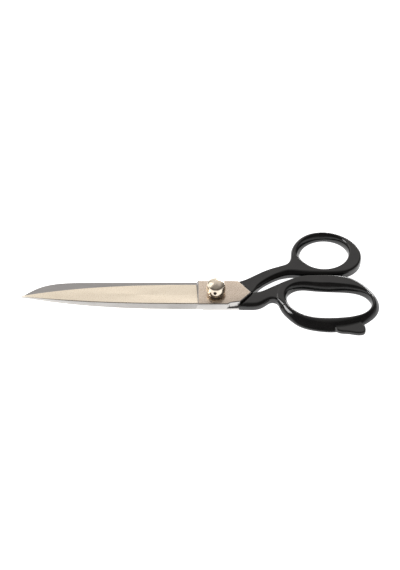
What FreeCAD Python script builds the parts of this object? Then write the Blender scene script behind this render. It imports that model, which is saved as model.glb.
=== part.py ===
"""Twelve-inch tailor's shears: two crossed forged halves on one adjustable pivot.

Row frame, in millimetres: the origin is on the pivot axis, on the flat face of the bolt's head, which
is the lowest face of the shears as they lie.  +Z is up along the pivot axis, -X runs to the tips of the
closed blades and +X to the handles, and +Y is the side of the thumb ring.
"""
import FreeCAD, Part

import math
import os

import Sketcher  # noqa: F401  registers Sketcher::SketchObject

Vec = FreeCAD.Vector
OUT = "parts"
SPARE = 1  # how far a cutting shape runs past what it cuts

# Driving dimensions, in millimetres unless a comment says otherwise.  Each becomes a cell of the sheet.
DIMENSIONS = {
    # heights on the pivot axis
    "head_proud": 0.8,  # bolt head below the lower plate
    "plate_thick": 5.0,  # each half at the pivot
    "ride_gap": 0.1,  # between the two plates
    # pivot plate of each half, seen from above
    "plate_half": 13.6,  # pivot to the front edge, at the inner face
    "thumb_front_draft": 0.3,
    "finger_front_draft": 2.2,
    "thumb_heel": 15.3,  # pivot to the step where the ground blade starts, at the outer face
    "finger_heel": 10.5,
    "heel_draft": 2.0,
    "chevron_root": 18.9,  # pivot to the chevron's two outer corners
    "chevron_half": 13.0,  # and their distance off the centre line
    "chevron_tip": 30.0,  # pivot to the chevron's point
    "chevron_shift": 0.385,  # each half's chevron moves this far towards its own handle
    "chevron_reach": 1.8,  # how far the finger shank runs on past the chevron's point
    "thumb_spine_half": 14.4,  # pivot to the drafted back, at the inner face
    "finger_spine_half": 15.2,
    "spine_draft": 1.7,
    "scoop_start": 7.1,  # pivot to the scoop that the back has before the chevron
    "scoop_turn": 12.0,
    "scoop_turn_half": 11.6,
    "scoop_end_half": 10.3,
    "plate_bevel": 0.5,
    # blades
    "root_overlap": 1.2,  # the blade starts this far inside the plate
    "blade_tip": 166.3,
    "tip_offset": 0.8,
    "tip_nib": 0.35,
    "edge_half": 12.7,
    "edge_power": 2.4,
    "edge_round": 0.9,
    "root_thick": 4.85,
    "tip_thick": 1.1,
    "ridge_share": 0.1,
    "bevel_share": 0.05,
    "bevel_thick": 0.26,
    "hollow": 0.3,
    # pivot bolt
    "head_radius": 7.8,
    "head_bevel": 0.4,
    "cone_radius": 6.0,
    "cone_depth": 1.8,
    "neck_side": 8.4,
    "neck_length": 2.2,
    "bolt_radius": 4.0,
    "shank_short": 0.2,  # the round shank stops this far below the upper face
    "thread_radius": 3.5,
    "thread_bevel": 0.5,
    "thread_above": 9.3,  # thread's end above the upper plate
    "running_gap": 0.05,
    # spring washer and thrust washer
    "washer_hole": 3.7,
    "spring_radius": 6.6,
    "spring_height": 0.8,
    "spring_strip": 0.4,
    "spring_lean": 0.1,
    "washer_radius": 7.2,
    "washer_thick": 0.9,
    "washer_bevel": 0.15,
    # ball nut
    "nut_neck_radius": 6.2,
    "nut_neck": 1.5,
    "nut_radius": 8.2,
    "nut_edge": 0.7,
    "nut_swell": 27.0,  # radius of the barrel's bulge
    "nut_crown_radius": 7.25,
    "nut_crown": 9.1,  # crown's rim above the nut's foot
    "nut_dome": 2.2,
    "nut_bore": 8.4,
    # lock screw, in a radial hole of the nut
    "lock_height": 6.4,
    "lock_radius": 1.4,
    "lock_sunk": 1.5,
    "lock_slot": 0.5,
    "lock_angle": 6.0,  # degrees from -Y towards -X
    # handles
    "handle_thick": 9.4,
    "handle_round": 2.6,
    "ring_hole_x": 91.9,
    "ring_hole_y": 45.4,
    "ring_hole_long": 20.6,
    "ring_hole_short": 17.7,
    "rest_thick": 6.0,
    "rest_round": 1.5,
}

# Heights that several pieces share, as expressions.
MID = "(dims.head_proud + dims.plate_thick + dims.ride_gap / 2)"
PLATE_TOP = "(dims.head_proud + 2 * dims.plate_thick + dims.ride_gap)"
SPRING_FOOT = f"({PLATE_TOP} + dims.running_gap)"
WASHER_FOOT = f"({SPRING_FOOT} + dims.spring_height)"
NUT_FOOT = f"({WASHER_FOOT} + dims.washer_thick)"
LOCK_LEVEL = f"({NUT_FOOT} + dims.lock_height)"

# Outlines of the handles, seen from above, as points that a smooth curve passes through.
THUMB_OUTLINE = [
    (25.0, 15.9), (32.1, 20.2), (39.5, 24.6), (46.9, 28.2), (54.3, 30.9), (60.2, 33.6),
    (63.0, 39.0), (63.6, 47.5), (67.9, 58.2), (77.5, 66.2), (91.5, 68.6), (105.5, 65.3),
    (117.0, 57.0), (123.6, 45.0), (121.9, 32.6), (114.0, 24.6), (102.0, 21.9), (88.0, 21.6),
    (74.0, 21.9), (62.5, 22.4), (53.0, 19.6), (44.0, 14.2), (36.5, 7.8), (32.2, 2.6),
]
FINGER_OUTLINE = [
    (37.5, 2.6), (43.4, 5.4), (50.6, 9.6), (57.9, 13.3), (65.5, 17.0), (74.0, 20.0),
    (85.0, 21.2), (99.5, 21.2), (110.5, 19.6), (120.5, 15.4), (129.0, 8.6), (135.9, -0.2),
    (139.2, -9.8), (137.2, -18.5), (131.2, -25.9), (122.5, -32.0), (111.0, -36.0), (97.0, -37.9),
    (83.0, -36.1), (70.5, -31.4), (61.0, -22.8), (54.5, -12.8), (51.0, -6.9), (46.6, -5.6),
    (41.5, -8.8), (36.0, -12.4), (27.0, -13.4),
]
FINGER_HOLE = [
    (69.5, 8.0), (82.0, 7.7), (96.5, 6.6), (110.0, 5.9), (120.5, 3.9), (128.5, -1.5), (131.9, -9.3),
    (128.3, -18.4), (118.0, -23.9), (104.0, -26.0), (90.0, -26.0), (77.5, -23.4), (67.3, -17.3),
    (61.5, -8.4), (61.8, 2.5),
]
REST_OUTLINE = [
    (99.8, -36.0), (102.0, -39.4), (112.0, -40.9), (122.5, -42.0), (127.0, -40.1), (127.6, -36.0),
    (124.0, -29.5), (113.0, -29.5), (102.0, -32.0),
]


def make_sheet(doc):
    """The spreadsheet of driving dimensions; one aliased cell each."""
    sheet = doc.addObject("Spreadsheet::Sheet", "dims")
    for row, (alias, value) in enumerate(DIMENSIONS.items(), start=1):
        sheet.set(f"A{row}", alias)
        sheet.set(f"B{row}", str(value))
        sheet.setAlias(f"B{row}", alias)
    doc.recompute()
    return sheet


class Dims:
    """Reads the sheet's cells as plain numbers, for curves that no expression can hold."""

    def __init__(self, sheet):
        self._sheet = sheet

    def __getattr__(self, alias):
        return float(self._sheet.get(alias))


def new_body(doc, label):
    body = doc.addObject("PartDesign::Body", label)
    body.Label = label
    return body


def origin_plane(body, role):
    return next(f for f in body.Origin.OriginFeatures if f.Role == role)


def new_sketch(body, name, role="XY_Plane", offset=None):
    """A sketch on one of the body's own planes; offset is an expression along the plane's normal."""
    sketch = body.newObject("Sketcher::SketchObject", name)
    sketch.AttachmentSupport = (origin_plane(body, role), "")
    sketch.MapMode = "FlatFace"
    if offset:
        sketch.setExpression("AttachmentOffset.Base.z", offset)
    return sketch


def fix_vertex(sketch, geo, position, across, up):
    """Holds one vertex at (across, up), two expressions measured from the sketch's origin."""
    point = sketch.getPoint(geo, position)
    for kind, text, now in (("DistanceX", across, point.x), ("DistanceY", up, point.y)):
        ends = (-1, 1, geo, position) if now > 0 else (geo, position, -1, 1)
        number = sketch.addConstraint(Sketcher.Constraint(kind, *ends, abs(now)))
        sketch.setExpression(f"Constraints[{number}]", text if now > 0 else f"-({text})")


def arc_between(start, end, radius):
    """The arc from start to end that bulges to the right of the way between them."""
    chord = end - start
    half = chord.Length / 2
    rise = radius - math.sqrt(radius**2 - half**2)
    outwards = Vec(chord.y, -chord.x, 0) / chord.Length
    return Part.Arc(start, start + chord / 2 + outwards * rise, end)


def outline(sketch, corners, arcs=()):
    """A closed outline whose corners, taken anticlockwise, are pairs of expressions.

    arcs maps a side's number to the expression of its radius, and such a side bulges outwards."""
    spots = [Vec(sketch.evalExpression(across), sketch.evalExpression(up), 0) for across, up in corners]
    count = len(spots)
    for i, start in enumerate(spots):
        end = spots[(i + 1) % count]
        if i in arcs:
            sketch.addGeometry(arc_between(start, end, sketch.evalExpression(arcs[i])), False)
        else:
            sketch.addGeometry(Part.LineSegment(start, end), False)
    for i, (across, up) in enumerate(corners):
        sketch.addConstraint(Sketcher.Constraint("Coincident", i, 2, (i + 1) % count, 1))
        fix_vertex(sketch, i, 1, across, up)
        if i in arcs:
            fix_radius(sketch, i, arcs[i])


def rectangle(sketch, half_width, half_height, level="0"):
    """A rectangle centred at a level on the sketch's vertical axis."""
    low, high = f"{level} - {half_height}", f"{level} + {half_height}"
    left, right = f"-{half_width}", half_width
    outline(sketch, [(left, low), (right, low), (right, high), (left, high)])


def fix_radius(sketch, geo, radius):
    number = sketch.addConstraint(Sketcher.Constraint("Radius", geo, sketch.evalExpression(radius)))
    sketch.setExpression(f"Constraints[{number}]", radius)


def circle(sketch, radius, level="0"):
    """A circle centred at a level on the sketch's vertical axis."""
    centre = Vec(0, sketch.evalExpression(level), 0)
    geo = sketch.addGeometry(Part.Circle(centre, Vec(0, 0, 1), sketch.evalExpression(radius)), False)
    fix_radius(sketch, geo, radius)
    fix_vertex(sketch, geo, 3, "0", level)


def spline(sketch, points, closed=False):
    """A smooth curve through points, in millimetres."""
    curve = Part.BSplineCurve()
    curve.interpolate([Vec(x, y, 0) for x, y in points], PeriodicFlag=closed)
    return sketch.addGeometry(curve, False)


def pad(body, sketch, name, length, midplane=False):
    feature = body.newObject("PartDesign::Pad", name)
    feature.Profile = sketch
    feature.setExpression("Length", length)
    feature.Midplane = midplane


def cut(doc, feature):
    """Recomputes after a cutting feature and stops if it removed nothing."""
    doc.recompute()
    if feature.Shape.isNull() or feature.Shape.Volume > feature.BaseFeature.Shape.Volume - 1e-3:
        raise RuntimeError(f"{feature.Name} cuts nothing")


def pocket(doc, body, sketch, name, length=None, reverse=False):
    """A pocket of a length given as an expression, or through everything on both sides."""
    feature = body.newObject("PartDesign::Pocket", name)
    feature.Profile = sketch
    if length:
        feature.setExpression("Length", length)
        feature.Reversed = reverse
    else:
        feature.Type = "ThroughAll"
        feature.Midplane = True
    cut(doc, feature)


def edges_where(shape, test):
    return [f"Edge{i}" for i, edge in enumerate(shape.Edges, start=1) if test(edge)]


def flat_at(height, tolerance=1e-3):
    """A test for edges that lie in the level plane at a height."""
    return lambda edge: all(
        abs(edge.valueAt(edge.FirstParameter + share * (edge.LastParameter - edge.FirstParameter)).z - height)
        < tolerance
        for share in (0.0, 0.3, 0.7, 1.0)
    )


def round_edges(doc, body, name, edges, radius):
    base = body.Tip
    feature = body.newObject("PartDesign::Fillet", name)
    feature.Base = (base, edges)
    feature.setExpression("Radius", radius)
    doc.recompute()


def bevel_edges(doc, body, name, edges, size):
    base = body.Tip
    feature = body.newObject("PartDesign::Chamfer", name)
    feature.Base = (base, edges)
    feature.setExpression("Size", size)
    doc.recompute()


# Sections along the blade, from 0 at the root to 1 at the tip, closer together where the outline curves.
STATION_COUNT = 18
STATIONS = [round(1 - (1 - i / STATION_COUNT) ** 1.7, 4) for i in range(STATION_COUNT + 1)]


class Half:
    """What differs between the two halves.

    Dimensions are expressions.  tip_side is which side of the centre line the blade's tip is on, and
    fall is how its back falls to the tip: the power and the roundness of 1 - share^power."""

    def __init__(self, name, tip_side, fall):
        self.label = f"{name}_blade"
        self.heel = f"dims.{name}_heel"
        self.spine = f"dims.{name}_spine_half"
        self.front_draft = f"dims.{name}_front_draft"
        self.tip_side = tip_side
        self.fall = fall


# The thumb half's back tapers evenly; the finger half's stays wide and then drops.
THUMB = Half("thumb", -1, (2.6, 1.0))
FINGER = Half("finger", 1, (12.0, 1.5))


def fall(share, power, roundness):
    """An expression that goes from 1 at the root to 0 at the tip."""
    return f"max(0; 1 - {share}^{power})^{roundness}"


def blade_section(share, half):
    """Corners of the blade's section, as expressions (across, up) from the inner face.

    across is towards the cutting edge."""
    tip = f"({half.tip_side} * dims.tip_offset)"
    edge_fall = fall(share, "dims.edge_power", "dims.edge_round")
    edge = f"({tip} + dims.tip_nib + (dims.edge_half - {tip} - dims.tip_nib) * {edge_fall})"
    back_fall = fall(share, *half.fall)
    back = f"({tip} - dims.tip_nib - ({half.spine} + {tip} - dims.tip_nib) * {back_fall})"
    width = f"({edge} - {back})"
    thick = f"(dims.tip_thick + (dims.root_thick - dims.tip_thick) * (1 - {share}^3))"
    level = "dims.ride_gap / 2"
    return [
        (back, level),
        (f"{back} + {width} / 2", f"{level} + dims.hollow * {thick} / dims.root_thick"),
        (edge, level),
        (f"{edge} - {width} * dims.bevel_share", f"{level} + dims.bevel_thick * {thick}"),
        (f"{back} + {width} * dims.ridge_share", f"{level} + {thick}"),
    ]


def add_blade(doc, body, half):
    """Lofts the ground blade through its sections, from inside the plate to the tip."""
    root = f"({half.heel} - dims.root_overlap)"
    sketches = []
    for i, share in enumerate(STATIONS):
        place = f"-({root} + (dims.blade_tip - {root}) * {share})"
        sketch = new_sketch(body, f"{half.label}_section_{i}", "YZ_Plane", place)
        outline(sketch, blade_section(share, half))
        sketches.append(sketch)
    doc.recompute()
    loft = body.newObject("PartDesign::AdditiveLoft", f"{half.label}_loft")
    loft.Profile = sketches[0]
    loft.Sections = sketches[1:]
    loft.Ruled = True
    doc.recompute()


def draft_side(doc, body, name, role, reach, lean, side):
    """Leans one side of the plate inwards.

    role is the plane that shows the side on edge, reach its distance from the pivot at the inner face,
    lean how much nearer it is at the outer face, and side the way that it faces, 1 or -1."""
    foot = "(dims.ride_gap / 2)"
    top = f"({foot} + dims.plate_thick)"
    away = f"{reach} + {SPARE}"
    corners = [
        (f"{side} * ({reach})", foot),
        (f"{side} * ({away})", foot),
        (f"{side} * ({away})", f"{top} + {SPARE}"),
        (f"{side} * ({reach} - {lean})", f"{top} + {SPARE}"),
        (f"{side} * ({reach} - {lean})", top),
    ]
    sketch = new_sketch(body, f"{name}_draft", role)
    outline(sketch, corners)
    pocket(doc, body, sketch, name)


def make_half(doc, half):
    """One half's plate and blade, with its inner face on z = 0 and its own handle on the +y side.

    The plate is a flat with a chevron at its handle end and a scoop in its back before the chevron.
    The blade runs to -x, cutting edge at +y."""
    body = new_body(doc, half.label)
    plan = new_sketch(body, f"{half.label}_plan", offset="dims.ride_gap / 2")
    run = "(dims.chevron_tip - dims.chevron_root) / dims.chevron_half"
    scoop_end = f"dims.chevron_tip - (dims.scoop_end_half + dims.chevron_shift) * {run}"
    heel = f"{half.heel} + dims.heel_draft"
    outline(
        plan,
        [
            (f"-({heel})", "dims.plate_half"),
            (f"-({heel})", f"-{half.spine}"),
            ("dims.scoop_start", f"-{half.spine}"),
            ("dims.scoop_turn", "-dims.scoop_turn_half"),
            (scoop_end, "-dims.scoop_end_half"),
            ("dims.chevron_tip", "dims.chevron_shift"),
            ("dims.chevron_root", "dims.chevron_half + dims.chevron_shift"),
        ],
    )
    pad(body, plan, f"{half.label}_plate", "dims.plate_thick")
    doc.recompute()
    draft_side(doc, body, f"{half.label}_back", "YZ_Plane", half.spine, "dims.spine_draft", -1)
    draft_side(doc, body, f"{half.label}_front", "YZ_Plane", "dims.plate_half", half.front_draft, 1)
    draft_side(doc, body, f"{half.label}_heel", "XZ_Plane", heel, "dims.heel_draft", -1)
    rim = edges_where(body.Tip.Shape, flat_at(body.Tip.Shape.BoundBox.ZMax))
    bevel_edges(doc, body, f"{half.label}_bevel", rim, "dims.plate_bevel")
    add_blade(doc, body, half)
    return body


def make_thumb_blade(doc):
    """The upper half's blade, bored to turn on the bolt."""
    body = make_half(doc, THUMB)
    bore = new_sketch(body, "thumb_bore")
    circle(bore, "dims.bolt_radius + dims.running_gap")
    pocket(doc, body, bore, "thumb_bore_cut")
    body.setExpression("Placement.Base.z", MID)
    return body


def make_finger_blade(doc):
    """The lower half's blade, with a square hole and a countersink that hold the bolt still."""
    body = make_half(doc, FINGER)
    square = new_sketch(body, "finger_square")
    half = "(dims.neck_side / 2 + dims.running_gap)"
    rectangle(square, half, half)
    pocket(doc, body, square, "finger_square_cut")
    seat = new_sketch(body, "finger_countersink", "XZ_Plane")
    top = "(dims.plate_thick + dims.ride_gap / 2)"
    gap = "dims.running_gap"
    outline(
        seat,
        [
            (gap, f"{top} - dims.cone_depth - {gap}"),
            (f"dims.cone_radius + {gap}", f"{top} - dims.cone_depth - {gap}"),
            (f"dims.head_radius + {gap}", f"{top} - {gap}"),
            (f"dims.head_radius + {gap}", f"{top} + {SPARE}"),
            (gap, f"{top} + {SPARE}"),
        ],
    )
    cut(doc, revolve(doc, body, seat, "finger_countersink_cut", "Groove"))
    body.setExpression("Placement.Base.z", MID)
    body.Placement.Rotation = FreeCAD.Rotation(Vec(1, 0, 0), 180)
    return body


def make_thumb_handle(doc, dims):
    """The upper half's shank and thumb ring, one rounded forging that meets the chevron's upper edge."""
    body = new_body(doc, "thumb_handle")
    plan = new_sketch(body, "thumb_plan", offset=MID)
    root = (dims.chevron_root, dims.chevron_half + dims.chevron_shift)
    tip = (dims.chevron_tip, dims.chevron_shift)
    plan.addGeometry(Part.LineSegment(Vec(*tip, 0), Vec(*root, 0)), False)
    spline(plan, [root, *THUMB_OUTLINE, tip])
    hole = Part.Ellipse(Vec(dims.ring_hole_x, dims.ring_hole_y, 0), dims.ring_hole_long, dims.ring_hole_short)
    plan.addGeometry(hole, False)
    pad(body, plan, "thumb_forging", "dims.handle_thick", midplane=True)
    doc.recompute()
    round_rims(doc, body, "thumb_round", "dims.handle_round")
    return body


def make_finger_handle(doc, dims):
    """The lower half's shank and finger bow, with the rest that juts from the bow's outer corner."""
    body = new_body(doc, "finger_handle")
    plan = new_sketch(body, "finger_plan", offset=MID)
    root = (dims.chevron_root, -dims.chevron_half - dims.chevron_shift)
    slope = dims.chevron_half / (dims.chevron_tip - dims.chevron_root)
    tip = (dims.chevron_tip + dims.chevron_reach, dims.chevron_reach * slope - dims.chevron_shift)
    plan.addGeometry(Part.LineSegment(Vec(*root, 0), Vec(*tip, 0)), False)
    spline(plan, [tip, *FINGER_OUTLINE, root])
    spline(plan, FINGER_HOLE, closed=True)
    pad(body, plan, "finger_forging", "dims.handle_thick", midplane=True)
    doc.recompute()
    bow_front = body.Tip.Shape.optimalBoundingBox(False).YMin
    round_rims(doc, body, "finger_round", "dims.handle_round")
    rest = new_sketch(body, "rest_plan", offset=MID)
    spline(rest, REST_OUTLINE, closed=True)
    pad(body, rest, "finger_rest", "dims.rest_thick", midplane=True)
    doc.recompute()
    half = dims.rest_thick / 2
    round_rims(doc, body, "rest_round", "dims.rest_round", half, lambda spot: spot.y < bow_front)
    return body


def round_rims(doc, body, name, radius, half=None, keep=lambda spot: True):
    """Rounds a forging's curved level edges, half above and below its middle, or its outermost ones.

    keep says of an edge's middle point whether the edge counts."""
    shape = body.Tip.Shape
    middle = float(body.evalExpression(MID))
    half = half or shape.BoundBox.ZMax - middle

    def counts(edge):
        level = flat_at(middle - half)(edge) or flat_at(middle + half)(edge)
        spot = edge.valueAt((edge.FirstParameter + edge.LastParameter) / 2)
        return level and keep(spot) and "Line" not in edge.Curve.TypeId

    round_edges(doc, body, name, edges_where(shape, counts), radius)


def revolve(doc, body, sketch, name, kind="Revolution"):
    """Turns a sketch about the z axis, adding to the body or, as a Groove, cutting it."""
    feature = body.newObject(f"PartDesign::{kind}", name)
    feature.Profile = sketch
    feature.ReferenceAxis = (sketch, ["V_Axis"])
    feature.Angle = 360
    doc.recompute()
    return feature


def turned(doc, label, corners, arcs=()):
    """A body turned about the z axis from an outline of expressions (radius, height)."""
    body = new_body(doc, label)
    sketch = new_sketch(body, f"{label}_profile", "XZ_Plane")
    outline(sketch, corners, arcs)
    revolve(doc, body, sketch, f"{label}_turning")
    return body


def make_bolt(doc):
    """The pivot bolt: a flat head, a square neck, a round shank and a threaded end."""
    neck_foot = "(dims.head_proud + dims.cone_depth)"
    shank_top = f"({PLATE_TOP} - dims.shank_short)"
    top = f"({PLATE_TOP} + dims.thread_above)"
    body = turned(
        doc,
        "pivot_bolt",
        [
            ("0", "0"),
            ("dims.head_radius - dims.head_bevel", "0"),
            ("dims.head_radius", "dims.head_bevel"),
            ("dims.head_radius", "dims.head_proud"),
            ("dims.cone_radius", neck_foot),
            ("dims.bolt_radius", neck_foot),
            ("dims.bolt_radius", shank_top),
            ("dims.thread_radius", shank_top),
            ("dims.thread_radius", f"{top} - dims.thread_bevel"),
            ("dims.thread_radius - dims.thread_bevel", top),
            ("0", top),
        ],
    )
    square = new_sketch(body, "bolt_neck_plan", offset=neck_foot)
    rectangle(square, "(dims.neck_side / 2)", "(dims.neck_side / 2)")
    pad(body, square, "bolt_neck", "dims.neck_length")
    return body


def make_spring_washer(doc):
    """A coned spring washer between the upper plate and the thrust washer."""
    top = f"({SPRING_FOOT} + dims.spring_height)"
    return turned(
        doc,
        "spring_washer",
        [
            ("dims.spring_radius - dims.spring_lean", SPRING_FOOT),
            ("dims.spring_radius", f"{SPRING_FOOT} + dims.spring_strip"),
            ("dims.washer_hole + dims.spring_lean", top),
            ("dims.washer_hole", f"{top} - dims.spring_strip"),
        ],
    )


def make_thrust_washer(doc):
    """The flat washer that the nut bears on."""
    return turned(
        doc,
        "thrust_washer",
        [
            ("dims.washer_hole", WASHER_FOOT),
            ("dims.washer_radius - dims.washer_bevel", WASHER_FOOT),
            ("dims.washer_radius", f"{WASHER_FOOT} + dims.washer_bevel"),
            ("dims.washer_radius", f"{NUT_FOOT} - dims.washer_bevel"),
            ("dims.washer_radius - dims.washer_bevel", NUT_FOOT),
            ("dims.washer_hole", NUT_FOOT),
        ],
    )


def make_ball_nut(doc):
    """The round adjusting nut: a narrow foot, a swelling barrel and a shallow dome, bored from below."""
    shoulder = f"({NUT_FOOT} + dims.nut_neck)"
    crown = f"({NUT_FOOT} + dims.nut_crown)"
    bore = "(dims.thread_radius + dims.running_gap)"
    bore_top = f"({NUT_FOOT} + dims.nut_bore)"
    corners = [
        ("0", bore_top),
        (bore, f"{bore_top} - dims.thread_bevel"),
        (bore, NUT_FOOT),
        ("dims.nut_neck_radius", NUT_FOOT),
        ("dims.nut_neck_radius", shoulder),
        ("dims.nut_radius - dims.nut_edge", shoulder),
        ("dims.nut_radius", f"{shoulder} + dims.nut_edge"),
        ("dims.nut_crown_radius", crown),
        ("0", f"{crown} + dims.nut_dome"),
    ]
    ball = "((dims.nut_crown_radius^2 + dims.nut_dome^2) / (2 * dims.nut_dome))"
    body = turned(doc, "ball_nut", corners, arcs={6: "dims.nut_swell", 7: ball})
    hole = new_sketch(body, "lock_hole_plan", "XZ_Plane")
    circle(hole, "(dims.lock_radius + dims.running_gap)", LOCK_LEVEL)
    pocket(doc, body, hole, "lock_hole", length=f"dims.nut_radius + {SPARE}", reverse=True)
    turn_to_lock(body)
    return body


def make_lock_screw(doc):
    """The slotted grub screw in the nut's radial hole, with its inner end at the bolt's thread."""
    body = new_body(doc, "lock_screw")
    inner = "(dims.thread_radius + dims.running_gap)"
    outer = "(dims.nut_radius - dims.lock_sunk)"
    plan = new_sketch(body, "screw_plan", "XZ_Plane", inner)
    circle(plan, "dims.lock_radius", LOCK_LEVEL)
    pad(body, plan, "screw_turning", f"{outer} - {inner}")
    doc.recompute()
    slot = new_sketch(body, "slot_plan", "XZ_Plane", outer)
    rectangle(slot, f"(dims.lock_radius + {SPARE})", "(dims.lock_slot / 2)", LOCK_LEVEL)
    pocket(doc, body, slot, "screw_slot", length="dims.lock_slot * 1.5")
    turn_to_lock(body)
    return body


def turn_to_lock(body):
    """Turns a piece built with its lock screw on the -y side to the side that the screw is really on."""
    body.setExpression("Placement.Rotation", "create(<<rotation>>; vector(0; 0; 1); -dims.lock_angle)")


def check(body):
    """Stops the build if a sub-part is failed, empty, broken or in more than one solid."""
    for item in [body, *body.Group]:
        if "Invalid" in item.State or "Error" in item.State:
            raise RuntimeError(f"{item.Name} failed: {item.State}")
    shape = body.Shape
    if shape.isNull() or not shape.isValid() or len(shape.Solids) != 1:
        raise RuntimeError(f"{body.Label} is not one valid solid")


def main():
    doc = FreeCAD.newDocument("shears")
    dims = Dims(make_sheet(doc))
    bodies = [
        make_thumb_blade(doc),
        make_thumb_handle(doc, dims),
        make_finger_blade(doc),
        make_finger_handle(doc, dims),
        make_bolt(doc),
        make_spring_washer(doc),
        make_thrust_washer(doc),
        make_ball_nut(doc),
        make_lock_screw(doc),
    ]
    doc.recompute()
    for body in bodies:
        check(body)
    os.makedirs(OUT, exist_ok=True)
    for body in bodies:
        body.Shape.exportStep(os.path.join(OUT, f"{body.Label}.step"))
        box = body.Shape.BoundBox
        print(
            f"{body.Label:15s} {body.Shape.Volume:9.0f} mm3  x {box.XMin:.1f} {box.XMax:.1f}"
            f"  y {box.YMin:.1f} {box.YMax:.1f}  z {box.ZMin:.2f} {box.ZMax:.2f}"
        )


main()
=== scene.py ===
"""The looks of the tailor's shears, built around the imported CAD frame.

Row frame: +Z up along the pivot axis, -X to the tips of the closed blades, +X to the handles and +Y to
the side of the thumb ring.  Outlines and sizes are in millimetres and become metres where a mesh is made.
Textures, lights and the camera are in metres.
"""

import math

import bmesh
import bpy
import numpy as np
from mathutils import Matrix, Vector, kdtree, noise


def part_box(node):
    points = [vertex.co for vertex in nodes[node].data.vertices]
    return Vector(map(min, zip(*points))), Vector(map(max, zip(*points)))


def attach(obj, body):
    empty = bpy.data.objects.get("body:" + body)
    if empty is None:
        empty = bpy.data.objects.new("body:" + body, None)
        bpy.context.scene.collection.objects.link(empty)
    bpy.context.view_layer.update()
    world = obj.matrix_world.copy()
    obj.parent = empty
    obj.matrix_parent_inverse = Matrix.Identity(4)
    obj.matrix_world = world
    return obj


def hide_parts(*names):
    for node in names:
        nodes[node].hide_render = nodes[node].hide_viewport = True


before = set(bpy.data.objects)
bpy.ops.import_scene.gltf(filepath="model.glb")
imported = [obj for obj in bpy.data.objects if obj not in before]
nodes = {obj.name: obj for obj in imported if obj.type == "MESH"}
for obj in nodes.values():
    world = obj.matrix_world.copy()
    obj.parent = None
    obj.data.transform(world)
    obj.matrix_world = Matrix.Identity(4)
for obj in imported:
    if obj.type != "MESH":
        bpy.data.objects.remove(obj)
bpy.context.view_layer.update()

MM = 0.001
ON_AXIS = 1e-6


# ---------------------------------------------------------------- heights, read from the frame

def level(node, end):
    """A CAD node's lowest (0) or highest (1) point, in millimetres."""
    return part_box(node)[end].z / MM


PLATE_TOP = level("thumb_blade", 1)
PLATE_FOOT = level("finger_blade", 0)
MID = (level("thumb_handle", 0) + level("thumb_handle", 1)) / 2
HANDLE_HALF = (level("thumb_handle", 1) - level("thumb_handle", 0)) / 2
BLADE_TIP = -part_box("thumb_blade")[0].x / MM
NUT_FOOT = level("ball_nut", 0)
NUT_TOP = level("ball_nut", 1)


# ---------------------------------------------------------------- node materials

def colour_ramp(tree, factor, stops):
    """A colour from a factor.

    stops are (position, value) pairs, where a value is three numbers, or one for a grey."""
    made = tree.nodes.new("ShaderNodeValToRGB")
    tree.links.new(factor, made.inputs["Fac"])
    elements = made.color_ramp.elements
    while len(elements) < len(stops):
        elements.new(0.5)
    for element, (position, value) in zip(elements, stops):
        element.position = position
        element.color = (*value, 1) if isinstance(value, tuple) else (value, value, value, 1)
    return made.outputs["Color"]


class Shader:
    """A material made of one Principled shader and the nodes that feed it."""

    def __init__(self, name, **sockets):
        self.material = bpy.data.materials.new(name)
        self.material.use_nodes = True
        self.tree = self.material.node_tree
        self.bsdf = self.tree.nodes["Principled BSDF"]
        for socket, value in sockets.items():
            self.bsdf.inputs[socket.replace("_", " ")].default_value = value
        self.coordinates = self.node("ShaderNodeTexCoord").outputs["Object"]

    def node(self, kind, **inputs):
        """A new node; an input is a number, three numbers or another node's output."""
        made = self.tree.nodes.new(kind)
        for key, value in inputs.items():
            if isinstance(value, bpy.types.NodeSocket):
                self.tree.links.new(value, made.inputs[key])
            else:
                made.inputs[key].default_value = value
        return made

    def stretched(self, scale):
        """Object coordinates scaled by three numbers, so that a texture runs along one way."""
        return self.node("ShaderNodeMapping", Vector=self.coordinates, Scale=scale).outputs[0]

    def noise(self, scale, detail=2.0, roughness=0.5, vector=None):
        """A noise from 0 to 1 over object coordinates, or over a vector of its own."""
        made = self.node(
            "ShaderNodeTexNoise",
            Vector=vector or self.coordinates,
            Scale=scale,
            Detail=detail,
            Roughness=roughness,
        )
        return made.outputs["Fac"]

    def ramp(self, factor, stops):
        """A colour or grey from a factor, as colour_ramp says."""
        return colour_ramp(self.tree, factor, stops)

    def bump(self, height, distance, strength=1.0, under=None):
        """A normal raised by a height; distance is the depth of the relief in metres."""
        made = self.node("ShaderNodeBump", Height=height, Distance=distance, Strength=strength)
        if under:
            self.tree.links.new(under, made.inputs["Normal"])
        return made.outputs["Normal"]

    def drive(self, **sockets):
        """Links outputs to the shader's sockets and gives the finished material."""
        for socket, value in sockets.items():
            self.tree.links.new(value, self.bsdf.inputs[socket.replace("_", " ")])
        return self.material


def blade_face():
    """Satin nickel over a face that was ground across: fine lines across it, long soft cloudiness."""
    shader = Shader("blade_face", Metallic=1.0, Anisotropic=0.35)
    lines = shader.noise(1.0, 3.0, 0.6, shader.stretched((9000, 500, 500)))
    clouds = shader.noise(1.0, 3.0, 0.55, shader.stretched((60, 160, 60)))
    colour = shader.ramp(clouds, [(0.3, (0.74, 0.655, 0.535)), (0.72, (0.80, 0.715, 0.59))])
    rough = shader.ramp(lines, [(0.25, 0.24), (0.8, 0.36)])
    normal = shader.bump(lines, 0.000002, 0.5)
    return shader.drive(Base_Color=colour, Roughness=rough, Normal=normal)


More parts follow.
